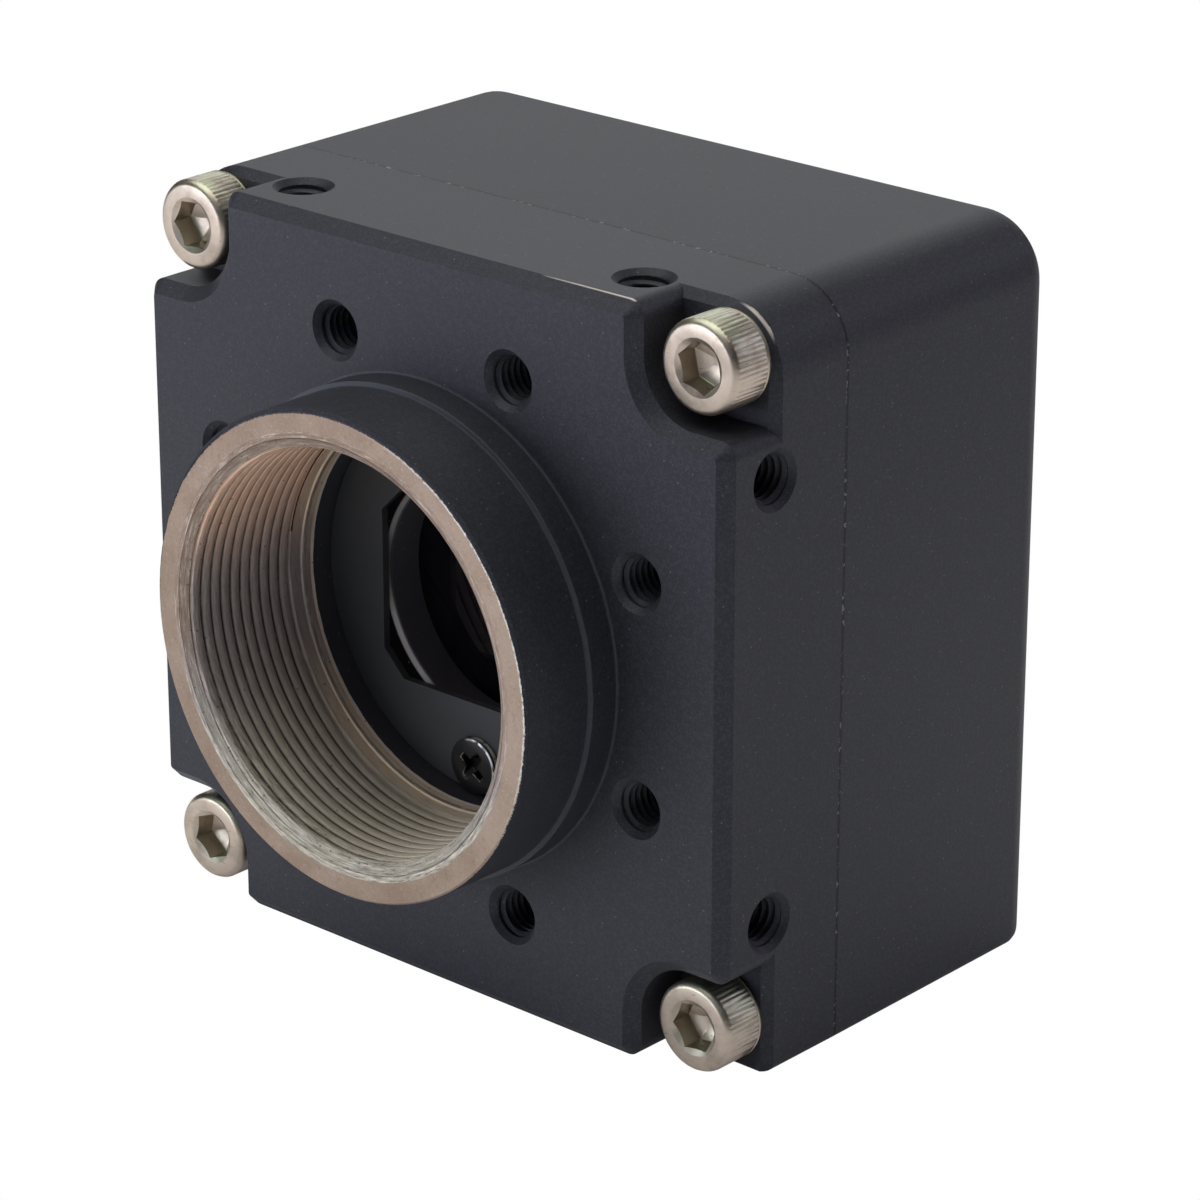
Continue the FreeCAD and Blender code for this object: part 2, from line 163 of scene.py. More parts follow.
# Colours of the body, with the share that a coat covers where it isn't whole
bodyLook = {
    "black": "2a2c33",
    "blackWarm": "2d2d33",
    "grainLight": ("3f4149", 0.65),
    "innerBlack": "34373f",
    # painted shade: the window shelf's near-black colour
    "shelfShadowBlack": "050506",
    "windowWall": "484a53",
    # painted highlight: the window bevel's pale colour
    "windowEdge": "bcbdc1",
    "dust": ("8f8b86", 0.4),
    # painted highlight on the collar's two edges
    "collarHighlight": ("696d77", 0.55),
    "wornEdge": "d5cdc6",
    "jointLine": "0a0a0d",
    "jointSpeck": "77777c",
    "ringMetal": "9c897c",
    "ringMetalPale": "b09e93",
    "ringFleck": ("cdbfb3", 0.35),
    "ringScuff": ("7d6f66", 0.35),
    # painted glint along the ring's outer edge
    "ringEdgeGlint": ("eceef0", 0.7),
    # the bore's colours from here on are painted light by place; the groove colour is painted shade and the
    # land's edge a painted highlight
    "boreLowLitSilver": "c2beb3",
    "boreMiddleShadedGrey": "aaa3a5",
    "boreUpperWarmReflection": "ffd9c2",
    "boreBottomLit": "e2dac9",
    "land": ("f4e4cc", 0.75),
    "landBevel": "6e6660",
    "landEdgeHighlight": "fff6f0",
    "grooveShade": ("3b332f", 0.85),
    "markDark": "5f5954",
    "markPale": "f4f0e8",
    "pit": ("4d423a", 0.7),
    "sheenTint": "e8ecff",
    "roughBlack": 0.52,
    "roughRing": 0.36,
    "roughBore": 0.6,
    "metalBore": 0.5,
    "metalWorn": 0.6,
    "gloss": 0.5,
    "rearDrop": 0.08,
    # painted shade: less reflection on the front part's right end and on the window shelf
    "rightShadeDrop": 0.1,
    "shelfShadeDrop": 0.4,
}

# Noises of the body: blobs in a millimetre, detail and roughness; the marks' place is in
# millimetres
bodyGrains = {
    "drift": (0.12 / mm, 4.0),
    "fine": (9.0 / mm, 2.0),
    "coarse": (4.5 / mm, 2.0, 0.6),
    "ragged": (1.2 / mm, 3.0, 0.6),
    "raggedFine": (9.0 / mm, 2.0, 0.8),
    "boreEnd": (0.8 / mm, 3.0, 0.6),
    "wobble": (0.9 / mm, 3.0, 0.7),
    "jointLine": (2.5 / mm, 3.0, 0.8),
    "jointSpeck": (2.4 / mm, 2.0, 0.7),
    "ring": (7.0 / mm, 3.0, 0.7),
    "ringDrift": (0.35 / mm, 3.0),
    "ringFleck": (6.0 / mm, 3.0, 0.8),
    "ringScuff": (2.2 / mm, 4.0, 0.8),
    "ringEdgeBroken": (4.0 / mm, 2.0),
    "marks": (6.5, 4.0, 0.75),
}

# Masks of the body: softness, start and end, in millimetres for places and plain for noises
bodyZones = {
    "grainLight": (0.1, 0.54),
    "inner": (0.1, layout["recessDepth"]),
    "shelf": (0.05, layout["shelfDepth"] - 0.1),
    "windowWall": (0.04, layout["shelfDepth"] + 0.3),
    "windowEdgeReach": (0.05, layout["windowRadius"] + 0.08, layout["windowRadius"] + 0.3),
    "windowEdgeDepth": (0.03, layout["shelfDepth"] + 0.02, layout["shelfDepth"] + 0.36),
    "windowEdgeMiddle": (2.5, -1.5),
    "windowEdgeTop": (2.0, 3.0),
    "wornRight": (3.5, 13.0),
    "wornTop": (0.4, 9.0, 15.7),
    "wornRim": (0.8, -2.5, 0.9),
    "collarFront": (0.05, -2.2, -2.02),
    "collarFoot": (0.05, -0.12, 0.02),
    "collarReach": (0.05, 14.5, 15.1),
    "joint": (0.04, layout["jointDepth"] - 0.11, layout["jointDepth"] + 0.11),
    "jointSpeck": (0.03, 0.62),
    "ringRightLight": (6.0, 9.0),
    "ringPale": (0.45, 0.5),
    "ringFleck": (0.05, 0.62),
    "ringScuff": (0.06, 0.6),
    "ringEdgeGlint": (0.03, -0.11),
    "ringEdgeRight": (5.0, 5.0),
    "ringEdgeBroken": (0.1, 0.42),
    "ringEdgeUpper": (4.0, -5.0),
    "boreMiddle": (3.5, -6.5),
    "boreLow": (3.5, None, -6.5),
    "boreUpper": (3.5, 3.5),
    "boreRight": (5.0, 0.0),
    "behindMouth": (0.4, -6.2),
    "land": (0.05, 1.36),
    "grooveReach": (0.05, 12.42),
    "grooveDepth": (0.1, -6.5, 0.95),
    "landBevel": (0.02, 2.19, 2.32),
    "landEdgeHighlight": (0.03, 2.74),
    "mouth": (0.08, None, -6.72),
    "mouthUpper": (4.0, -4.0),
    "markMouth": (0.8, None, -5.6),
    "markDark": (0.05, 0.57),
    "markPale": (0.05, None, 0.43),
    "pitDepth": (0.3, -6.3),
    "rear": (0.02, layout["jointDepth"]),
    "rightEndShade": (7.0, 16.0),
}

# Other sizes of the body's finish, in millimetres; dust and pits are cells in a millimetre and the
# dots' share of a cell, with the limit over which a cell has its dot
bodySizes = {
    "jointClear": 0.5,
    "innerRadius": 12.8,
    "shelfRadius": 10.5,
    "wallRadius": 9.6,
    "boreRadius": 13.35,
    "ringDepth": 0.11,
    "ringBevelDepth": 0.2,
    "ringBevelRadius": 14.5,
    "ringDrop": 0.185,
    "ringReach": (14.42, 0.12, 0.22),
    "boreReach": (layout["recessDepth"] - 0.05, 0.14),
    "boreEndSoft": 0.02,
    "topReach": 0.1,
    "topStart": (0.03, 0.74),
    "topWidth": (0.1, 0.1, 0.72),
    "pocket": 4.0,
    "rimStart": (0.04, 4.58),
    "rimWidth": (0.2, 0.21, 4.5),
    "collarWobble": (0.12, -0.06),
    "jointWobble": (0.16, 0.08),
    "markStretch": 0.12,
    "dust": (2.0, 0.1),
    "dustLimit": 0.7,
    "pits": (3.4, 0.22),
    "pitLimits": (0.17, 0.12, 0.79),
    "grainHeight": 0.014,
}

# How noises and masks are mixed: a factor, and what is added where it is a number
bodyMixes = {
    "grainFine": (0.6, -0.1),
    "grainCoarse": 0.6,
    "roughGrain": (0.1, -0.05),
    "dull": 0.35,
    "bump": 0.42,
    "windowLightTop": (0.2, 0.9),
    "windowLightMiddle": -0.6,
    "ringDrift": (1.4, -0.7),
    "ringFine": 0.8,
    "ringRightLight": 0.35,
    "markLow": (0.65, 0.35),
    "markShare": (0.42, 0.2),
}


def windowColours(s, colour, ahead):
    # round window behind the mask plate: the shelf coloured near black as painted shade, a painted highlight
    # on the bevel, brightest below, and a dull wall
    look, zones, sizes, mixes = bodyLook, bodyZones, bodySizes, bodyMixes
    # painted shade: the shelf in front of the window is coloured near black
    shelf = s.product(s.zone(s.depth, *zones["shelf"]),
                      s.add("Math", s.radius, sizes["shelfRadius"], operation="LESS_THAN"), ahead)
    wall = s.product(s.zone(s.depth, *zones["windowWall"]),
                     s.add("Math", s.radius, sizes["wallRadius"], operation="LESS_THAN"), ahead)
    edge = s.product(s.zone(s.radius, *zones["windowEdgeReach"]), s.zone(s.depth, *zones["windowEdgeDepth"]))
    # painted highlight on the window's bevel: brightest low, dim in the middle and a little brighter at the
    # top
    paintedLight = s.add("Math", s.zone(s.z, *zones["windowEdgeTop"]), *mixes["windowLightTop"], operation="MULTIPLY_ADD")
    paintedLight = s.add("Math", s.zone(s.z, *zones["windowEdgeMiddle"]), mixes["windowLightMiddle"], paintedLight,
                operation="MULTIPLY_ADD")
    colour = s.coats(colour, (shelf, look["shelfShadowBlack"]), (wall, look["windowWall"]),
                     (s.product(edge, paintedLight), look["windowEdge"]))
    return colour, shelf


def wornEdges(s, wobble):
    # the finish has rubbed off along the top front edge and round the pocket's rim
    zones, sizes = bodyZones, bodySizes
    rightWidth, wobbleWidth, start = sizes["topWidth"]
    width = s.add("Math", s.zone(s.x, *zones["wornRight"]), rightWidth, s.product(wobble, wobbleWidth),
                  operation="MULTIPLY_ADD")
    top = s.product(s.zone(s.depth, *sizes["topStart"], s.add("Math", width, start, operation="ADD")),
                    s.add("Math", s.z, layout["halfBody"] - sizes["topReach"], operation="GREATER_THAN"),
                    s.zone(s.x, *zones["wornTop"]))
    bend = layout["halfBody"] - sizes["pocket"]
    arcX, arcZ = (s.add("Math", side, bend, operation="SUBTRACT") for side in (s.x, s.z))
    slope = s.add("Math", arcX, arcZ, operation="SUBTRACT")
    along = s.product(s.zone(slope, *zones["wornRim"]), s.add("Math", arcX, 0.0, operation="GREATER_THAN"))
    wobbleWidth, alongWidth, start = sizes["rimWidth"]
    width = s.add("Math", wobble, wobbleWidth, s.product(along, alongWidth), operation="MULTIPLY_ADD")
    rim = s.product(s.zone(s.depth, *sizes["rimStart"], s.add("Math", width, start, operation="ADD")), along)
    return s.add("Math", top, rim, operation="MAXIMUM")


def collarHighlightLines(s, wobble):
    # painted highlight: the collar's two edges, where they catch the light, drawn as thin uneven pale lines
    uneven = s.add("Math", wobble, *bodySizes["collarWobble"], operation="MULTIPLY_ADD")
    along = s.add("Math", s.depth, uneven, operation="ADD")
    lines = s.add("Math", s.zone(along, *bodyZones["collarFront"]), s.zone(along, *bodyZones["collarFoot"]),
                  operation="ADD")
    return s.product(s.zone(s.radius, *bodyZones["collarReach"]), lines)


def ringColours(s, fromEdge):
    # the barrel's bare face: two tones that drift at random and turn paler towards the right as painted
    # light, flecks and scuffs, and a broken painted glint along its outer edge at the upper right
    look, zones, grains, mixes = bodyLook, bodyZones, bodyGrains, bodyMixes
    drift, fine = (s.add("TexNoise", s.place, *grains[name]) for name in ("ringDrift", "ring"))
    tone = s.add("Math", drift, *mixes["ringDrift"], operation="MULTIPLY_ADD")
    tone = s.add("Math", fine, mixes["ringFine"], tone, operation="MULTIPLY_ADD")
    # painted light: the face turns paler towards the right
    tone = s.add("Math", s.zone(s.x, *zones["ringRightLight"]), mixes["ringRightLight"], tone, operation="MULTIPLY_ADD")
    flecks, scuffs, broken = (s.zone(s.add("TexNoise", s.place, *grains[name]), *zones[name])
                              for name in ("ringFleck", "ringScuff", "ringEdgeBroken"))
    # painted glint: a broken pale line along the outer edge, on the upper right
    edge = s.product(s.zone(fromEdge, *zones["ringEdgeGlint"]), s.zone(s.x, *zones["ringEdgeRight"]),
                     s.product(broken, s.zone(s.z, *zones["ringEdgeUpper"])))
    return s.coats(look["ringMetal"], (s.zone(tone, *zones["ringPale"]), look["ringMetalPale"]),
                   (flecks, *look["ringFleck"]), (scuffs, *look["ringScuff"]), (edge, *look["ringEdgeGlint"]))


def boreColours(s, boreEnd, ringColour):
    # the bare bore, coloured by place as painted light: lit silver low, shaded grey in the middle and a warm
    # painted reflection above, painted shade in its thread's grooves, a pale land behind that, lit by painted
    # light where low or high, with a painted highlight on its edge, and turning marks whose pale streaks are
    # painted reflection, strongest low in its mouth
    look, zones, sizes, mixes = bodyLook, bodyZones, bodySizes, bodyMixes
    low, upper = s.zone(s.z, *zones["boreLow"]), s.zone(s.z, *zones["boreUpper"])
    bottom = s.product(low, s.zone(s.x, *zones["boreRight"]), s.zone(s.depth, *zones["behindMouth"]))
    land = s.product(s.zone(s.depth, *zones["land"]), s.add("Math", low, upper, operation="MAXIMUM"))
    groove = s.product(s.zone(s.radius, *zones["grooveReach"]), s.zone(s.depth, *zones["grooveDepth"]))
    landEdgeHighlight = s.add("Math", s.zone(s.depth, *zones["landEdgeHighlight"]),
                     s.zone(s.depth, sizes["boreEndSoft"], boreEnd), operation="SUBTRACT")
    mouth = s.product(s.zone(s.depth, *zones["mouth"]), s.zone(s.z, *zones["mouthUpper"]))
    x, z = (s.product(side, sizes["markStretch"]) for side in (s.x, s.z))
    inward = s.add("Math", s.depth, s.radius, operation="SUBTRACT")
    marks = s.add("TexNoise", s.add("CombineXYZ", x, inward, z), *bodyGrains["marks"])
    share = s.product(s.zone(s.depth, *zones["markMouth"]),
                      s.add("Math", low, *mixes["markLow"], operation="MULTIPLY_ADD"))
    share = s.add("Math", share, *mixes["markShare"], operation="MULTIPLY_ADD")
    # painted light by place, painted shade in the grooves, a painted highlight on the land's edge, and real
    # turning marks with painted reflection in their pale streaks
    return s.coats(
        look["boreLowLitSilver"],
        (s.zone(s.z, *zones["boreMiddle"]), look["boreMiddleShadedGrey"]),
        (upper, look["boreUpperWarmReflection"]),
        (bottom, look["boreBottomLit"]),
        (land, *look["land"]),
        (groove, *look["grooveShade"]),
        (s.zone(s.depth, *zones["landBevel"]), look["landBevel"]),
        (landEdgeHighlight, look["landEdgeHighlight"]),
        (mouth, ringColour),
        (s.zone(marks, *zones["markDark"]), look["markDark"], share),
        (s.zone(marks, *zones["markPale"]), look["markPale"], share),
    )


def bodyMaterial():
    # Matt black anodised aluminium: a soft blue-grey sheen with fine grain, sparse dust, a dark
    # joint line and worn bright edges, and bare metal on the barrel's face and in its threaded bore,
    # with painted light and shade in the window, on the collar, the barrel's face, the bore and the front's
    # right end
    look, zones, grains, sizes, mixes = bodyLook, bodyZones, bodyGrains, bodySizes, bodyMixes
    s = Finish("blackAnodisedAluminium", look["black"], look["roughBlack"])
    s.set("Specular Tint", look["sheenTint"])
    s.measure()
    drift, fine, coarse, wobble = (s.add("TexNoise", s.place, *grains[name])
                                   for name in ("drift", "fine", "coarse", "wobble"))
    grain = s.add("Math", fine, *mixes["grainFine"], operation="MULTIPLY_ADD")
    grain = s.add("Math", coarse, mixes["grainCoarse"], grain, operation="MULTIPLY_ADD")
    ahead = s.add("Math", s.depth, layout["jointDepth"] - sizes["jointClear"], operation="LESS_THAN")
    inner = s.product(s.zone(s.depth, *zones["inner"]),
                      s.add("Math", s.radius, sizes["innerRadius"], operation="LESS_THAN"), ahead)
    colour = s.coats(look["black"], (drift, look["blackWarm"]),
                     (s.zone(grain, *zones["grainLight"]), *look["grainLight"]), (inner, look["innerBlack"]))
    colour, shelf = windowColours(s, colour, ahead)

    # the joint line is a little crooked, with pale specks caught in it
    share, shift = sizes["jointWobble"]
    crooked = s.add("Math", s.add("TexNoise", s.place, *grains["jointLine"]), share,
                    s.add("Math", s.depth, shift, operation="SUBTRACT"), operation="MULTIPLY_ADD")
    joint = s.zone(crooked, *zones["joint"])
    patches = s.add("TexNoise", s.place, *grains["jointSpeck"])
    caught = s.product(joint, s.zone(patches, *zones["jointSpeck"]))
    worn = wornEdges(s, wobble)
    dust = s.specks(*sizes["dust"], "Red", sizes["dustLimit"])
    # dust, the collar's painted highlight lines, worn edges, and the joint line with its specks
    colour = s.coats(colour, (dust, *look["dust"]), (collarHighlightLines(s, wobble), *look["collarHighlight"]),
                     (worn, look["wornEdge"]), (joint, look["jointLine"]), (caught, look["jointSpeck"]))

    # bare metal: the barrel's face out to a ragged edge, and the bore
    fromDrop = s.reach(s.x, s.add("Math", s.z, sizes["ringDrop"], operation="ADD"))
    reach, broad, slight = sizes["ringReach"]
    waves, teeth, end = (s.add("TexNoise", s.place, *grains[name])
                         for name in ("ragged", "raggedFine", "boreEnd"))
    ragged = s.add("Math", waves, broad, reach, operation="MULTIPLY_ADD")
    ragged = s.add("Math", teeth, slight, ragged, operation="MULTIPLY_ADD")
    faceEnd = sizes["ringDepth"] - layout["barrelLength"]
    face = s.product(s.add("Math", s.depth, faceEnd, operation="LESS_THAN"),
                     s.add("Math", fromDrop, ragged, operation="LESS_THAN"))
    reach, broad = sizes["boreReach"]
    boreEnd = s.add("Math", end, broad, reach, operation="MULTIPLY_ADD")
    bore = s.product(s.add("Math", s.depth, boreEnd, operation="LESS_THAN"),
                     s.add("Math", s.radius, sizes["boreRadius"], operation="LESS_THAN"))
    bare = s.add("Math", face, bore, operation="MAXIMUM")
    ringColour = ringColours(s, s.add("Math", fromDrop, ragged, operation="SUBTRACT"))
    bareColour = s.coats(ringColour, (bore, boreColours(s, boreEnd, ringColour)))
    # casting pits, fewer behind the mouth and on the face
    deeper, onFace, limit = sizes["pitLimits"]
    limit = s.add("Math", s.zone(s.depth, *zones["pitDepth"]), deeper, limit, operation="MULTIPLY_ADD")
    limit = s.add("Math", limit, s.product(face, onFace), operation="ADD")
    bareColour = s.coats(bareColour, (s.specks(*sizes["pits"], "Green", limit), *look["pit"]))
    s.set("Base Color", s.coats(colour, (bare, bareColour)))
    metal = s.add("Math", face, s.product(bore, look["metalBore"]), operation="MAXIMUM")
    s.set("Metallic", s.add("Math", metal, s.product(worn, look["metalWorn"]), operation="MAXIMUM"))

    # the barrel's edge bevel is dull where the finish is still on it
    bevelEnd = sizes["ringBevelDepth"] - layout["barrelLength"]
    bevel = s.product(s.add("Math", s.depth, bevelEnd, operation="LESS_THAN"),
                      s.add("Math", s.radius, sizes["ringBevelRadius"], operation="GREATER_THAN"))
    share, shift = mixes["roughGrain"]
    roughDark = s.add("Math", grain, share, look["roughBlack"] + shift, operation="MULTIPLY_ADD")
    roughDark = s.add("Math", s.add("Math", shelf, bevel, operation="MAXIMUM"), mixes["dull"], roughDark,
                      operation="MULTIPLY_ADD")
    roughBare = s.add("Mix", bore, look["roughRing"], look["roughBore"])
    s.set("Roughness", s.add("Mix", bare, roughDark, roughBare))
    # the rear part of the body is a shade duller than the front part; the front part's right end and the
    # window shelf reflect less as painted shade
    rear = s.zone(s.depth, *zones["rear"])
    rightEndShade = s.product(s.zone(s.x, *zones["rightEndShade"]), s.add("Math", 1.0, rear, operation="SUBTRACT"))
    gloss = s.add("Math", rear, -look["rearDrop"], look["gloss"], operation="MULTIPLY_ADD")
    gloss = s.add("Math", rightEndShade, -look["rightShadeDrop"], gloss, operation="MULTIPLY_ADD")
    s.set("Specular IOR Level", s.add("Math", shelf, -look["shelfShadeDrop"], gloss, operation="MULTIPLY_ADD"))
    height = sizes["grainHeight"] * mm
    s.set("Normal", s.add("Bump", {"Height": grain, "Strength": mixes["bump"], "Distance": height}))
    return s.material


satinDrop = 0.08  # keeps the mean gloss near the given roughness


def satinGrain(s, perMm, roughness, spread=0.16, strength=0.25, height=0.01):
    # a fine grain that varies the gloss and raises the surface a little
    grain = s.add("TexNoise", s.place, perMm / mm, 3.0)
    s.set("Roughness", s.add("Math", grain, spread, roughness - satinDrop, operation="MULTIPLY_ADD"))
    s.set("Normal", s.add("Bump", {"Height": grain, "Strength": strength, "Distance": height * mm}))


# the plate's lit and dull colours are painted light and shade across it
plateLook = {"plateLit": "42464c", "dull": "373b41", "roughness": 0.45, "grainPerMm": 8.0, "lightSlant": -0.35,
             "plateLitSide": (7.0, -4.0)}


def plateMaterial():
    # Thin black anodised plate with a faint satin gloss, and painted light: lighter towards its lower right
    # side, darker away from it
    look = plateLook
    s = Finish("blackAnodisedPlate", look["plateLit"], look["roughness"])
    s.measure()
    # painted light and shade across the plate, lighter to the lower right
    lightSlant = s.add("Math", s.z, look["lightSlant"], s.x, operation="MULTIPLY_ADD")
    s.set("Base Color", s.coats(look["dull"], (s.zone(lightSlant, *look["plateLitSide"]), look["plateLit"])))
    satinGrain(s, look["grainPerMm"], look["roughness"])
    return s.material


# Small cross-recess screws of the mask plate
maskScrew = {"offset": 10.2, "headFront": 3.8, "headRadius": 1.75, "headHeight": 0.6, "dome": 0.16,
             "armHalf": 0.3, "armReach": 1.05, "armTaper": (1.25, 0.45), "armEdge": 0.06, "armRunOut": 0.5,
             "recess": 0.6, "steps": 112, "rows": 34, "turn": (0.92, 0.35), "shankRadius": 1.0,
             "shankLength": 2.2}
# the recess colour is painted shade and the edge colour a painted glint
smallScrewLook = {"steel": "26272c", "recess": "060607", "edge": "e4e8ee", "roughness": 0.35, "metallic": 0.4,
                  "recessFrom": (0.05, 0.16), "recessInset": 0.04, "lip": (0.02, 0.05, 0.12),
                  "rim": (0.03, 0.16, 0.04), "upperRight": (0.5, 1.3), "lowerLeft": (0.5, -0.1),
                  "glint": (0.1, 0.4), "glintNoise": (2.0 / mm, 3.0), "grainPerMm": 5.0}


def smallScrewMaterial():
    # Blackened steel with a soft highlight, coloured near black in the cross recess as painted shade, and
    # with broken painted glints on the cross's lips and the head's upper right rim
    look = smallScrewLook
    p = maskScrew
    front, headRadius = p["headFront"], p["headRadius"]
    s = Finish("blackenedSteel", look["steel"], look["roughness"], look["metallic"])
    s.measure()
    aside = s.add("Math", s.add("Math", s.z, operation="ABSOLUTE"), p["offset"], operation="SUBTRACT")
    radius = s.reach(s.x, aside)
    inCross = s.add("Math", radius, p["armReach"] - look["recessInset"], operation="LESS_THAN")
    soft, low = look["recessFrom"]
    # painted shade: the cross recess is coloured near black
    recess = s.product(s.zone(s.depth, soft, front + low), inCross)
    # painted glints on the cross's lower left lips and the head's upper right rim, broken up by noise
    soft, low, high = look["lip"]
    lip = s.product(s.zone(s.depth, soft, front + low, front + high), inCross,
                    s.zone(s.add("Math", aside, s.x, operation="SUBTRACT"), *look["lowerLeft"]))
    soft, low, high = look["rim"]
    rim = s.product(s.zone(radius, soft, headRadius - low, headRadius - high),
                    s.zone(s.add("Math", s.x, aside, operation="SUBTRACT"), *look["upperRight"]))
    broken = s.zone(s.add("TexNoise", s.place, *look["glintNoise"]), *look["glint"])
    glint = s.product(s.add("Math", lip, rim, operation="MAXIMUM"), broken)
    s.set("Base Color", s.coats(look["steel"], (recess, look["recess"]), (glint, look["edge"])))
    satinGrain(s, look["grainPerMm"], look["roughness"], strength=0.2)
    return s.material


# the upper colour is a painted reflection on faces that point up
stainlessLook = {"upper": "c6c8b4", "around": "cdbfb4", "blotch": "b3a79c", "scratch": "8d847b",
                 "roughness": 0.36, "upwardReflection": (0.3, 0.5), "upwardReflectionNoise": (0.5 / mm, 3.0), "upwardReflectionDrift": 0.4,
                 "blotches": (0.15, 0.55), "blotchNoise": (0.7 / mm, 4.0, 0.6), "scratches": (0.03, 0.66),
                 "scratchNoise": (1.2 / mm, 4.0, 0.7), "scratchStretch": (1.0, 1.0, 7.0), "grainPerMm": 5.0}


def stainlessMaterial():
    # Stainless steel, pinkish round the side with a painted greenish reflection where it faces up, blotchy
    # and scratched
    look = stainlessLook
    s = Finish("stainlessSteel", look["around"], look["roughness"], 1.0)
    # painted reflection: a greenish tint where the surface faces up
    facing = s.add("SeparateXYZ", s.add("NewGeometry").node.outputs["Normal"]).node.outputs["Z"]
    facing = s.add("Math", s.add("TexNoise", s.place, *look["upwardReflectionNoise"]), look["upwardReflectionDrift"], facing,
                   operation="MULTIPLY_ADD")
    blotches = s.zone(s.add("TexNoise", s.place, *look["blotchNoise"]), *look["blotches"])
    stretched = s.add("Mapping", {"Vector": s.place, "Scale": look["scratchStretch"]})
    scratches = s.zone(s.add("TexNoise", stretched, *look["scratchNoise"]), *look["scratches"])
    s.set("Base Color", s.coats(look["around"], (s.zone(facing, *look["upwardReflection"]), look["upper"]),
                                (blotches, look["blotch"]), (scratches, look["scratch"])))
    satinGrain(s, look["grainPerMm"], look["roughness"], 0.2, height=0.012)
    return s.material


driftWidth = 12  # grains across one patch of a drifting colour


def plainMaterial(name, colour, roughness, metallic, grainPerMm, driftColour, strength=0.15):
    # colour that drifts a little, with a fine grain in its gloss and its surface
    s = Finish(name, colour, roughness, metallic)
    drift = s.add("TexNoise", s.place, grainPerMm / driftWidth / mm, 3.0)
    s.set("Base Color", s.coats(colour, (drift, driftColour)))
    satinGrain(s, grainPerMm, roughness, strength=strength)
    return s.material


glassLook = {"roughness": 0.03, "clear": 0.97, "smear": (0.3 / mm, 4.0), "smearGloss": (0.03, 0.02)}


def glassMaterial(name, colour, coat):
    # clear glass that shows what is behind it, with a coating's tint in its reflection
    s = Finish(name, colour, glassLook["roughness"])
    s.set("Transmission Weight", glassLook["clear"])
    s.set("Coat Weight", coat)
    smear = s.add("TexNoise", s.place, *glassLook["smear"])
    s.set("Roughness", s.add("Math", smear, *glassLook["smearGloss"], operation="MULTIPLY_ADD"))
    return s.material


materials = {
    # matt black anodised body with bare lens mount
    "black_anodised_body": bodyMaterial(),
    # warm silver of stainless screws, slightly blotchy
    "stainless_screw": stainlessMaterial(),
    # thin black plate with a faint satin gloss
    "black_anodised_plate": plateMaterial(),
    # blackened steel with a soft highlight
    "blackened_screw": smallScrewMaterial(),
    # dark soft rubber
    "seal_rubber": plainMaterial("siliconeRubber", "202022", 0.7, 0.0, 4.0, "1a1a1c"),
    # dull dark ceramic of the sensor tray
    "sensor_ceramic": plainMaterial("sinteredCeramic", "2d2a29", 0.6, 0.0, 10.0, "332f2c"),
    # polished silicon with a violet cast
    "sensor_silicon": plainMaterial("polishedSilicon", "4b4360", 0.2, 0.5, 2.0, "454560", 0.0),
    # green solder mask with a wet gloss
    "circuit_board": plainMaterial("greenSolderMask", "0f3d22", 0.3, 0.0, 1.5, "134a28"),
    # black moulded plastic with a fine grain
    "frame_plastic": plainMaterial("mouldedPlastic", "26272a", 0.55, 0.0, 8.0, "2a2b2e"),
    # flat black moulding compound
    "chip_moulding": plainMaterial("blackMouldingCompound", "1d1d1f", 0.55, 0.0, 12.0, "222224"),
    # soft grey pad
    "thermal_pad": plainMaterial("greySiliconePad", "8b9298", 0.8, 0.0, 3.0, "828a90"),
    # glass-filled black plastic
    "connector_plastic": plainMaterial("glassFilledPlastic", "1b1b1d", 0.5, 0.0, 9.0, "202023"),
    # tinned sheet steel, soft reflections
    "jack_steel": plainMaterial("tinnedSteel", "b4b4b2", 0.28, 1.0, 2.0, "9f9f9e"),
    # matt nickel
    "nickel_plated_brass": plainMaterial("mattNickel", "b9b3a8", 0.32, 1.0, 3.0, "a59f95"),
    # gold flash on contacts
    "gold_contact": plainMaterial("goldPlating", "e0b45a", 0.22, 1.0, 3.0, "cfa24a"),
    # clear plastic, slightly milky
    "light_pipe": plainMaterial("clearLightPipe", "d9dedd", 0.25, 0.0, 3.0, "cdd3d2", 0.05),
    # milky resin over the light
    "led_moulding": plainMaterial("milkyResin", "d8d2b4", 0.35, 0.0, 3.0, "cbc5a8"),
    # clear glass with a greyish violet coating
    "filter_glass": glassMaterial("coatedFilterGlass", "716a7c", 0.2),
    # clear glass, faintly green
    "clear_glass": glassMaterial("clearCoverGlass", "e6ecec", 0.0),
}

slotOf = {part["node"]: part["material_slot"] for part in frame["record"]["subparts"]}
for name, node in nodes.items():
    node.data.materials.clear()
    node.data.materials.append(materials[slotOf[name]])
print("stage: materials set,", len(materials))


def addPiece(name, points, faces, slotName, replaced=(), sharpDegrees=32):
    mesh = bpy.data.meshes.new(name)
    mesh.from_pydata(points, [], faces)
    cleaner = bmesh.new()
    cleaner.from_mesh(mesh)
    bmesh.ops.remove_doubles(cleaner, verts=cleaner.verts, dist=weldDistance)
    bmesh.ops.recalc_face_normals(cleaner, faces=cleaner.faces)
    cleaner.to_mesh(mesh)
    cleaner.free()
    mesh.shade_smooth()
    mesh.set_sharp_from_angle(angle=math.radians(sharpDegrees))
    piece = bpy.data.objects.new(name, mesh)
    bpy.context.scene.collection.objects.link(piece)
    mesh.materials.append(materials[slotName])
    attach(piece, "root")
    if replaced:
        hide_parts(*replaced)
    return piece


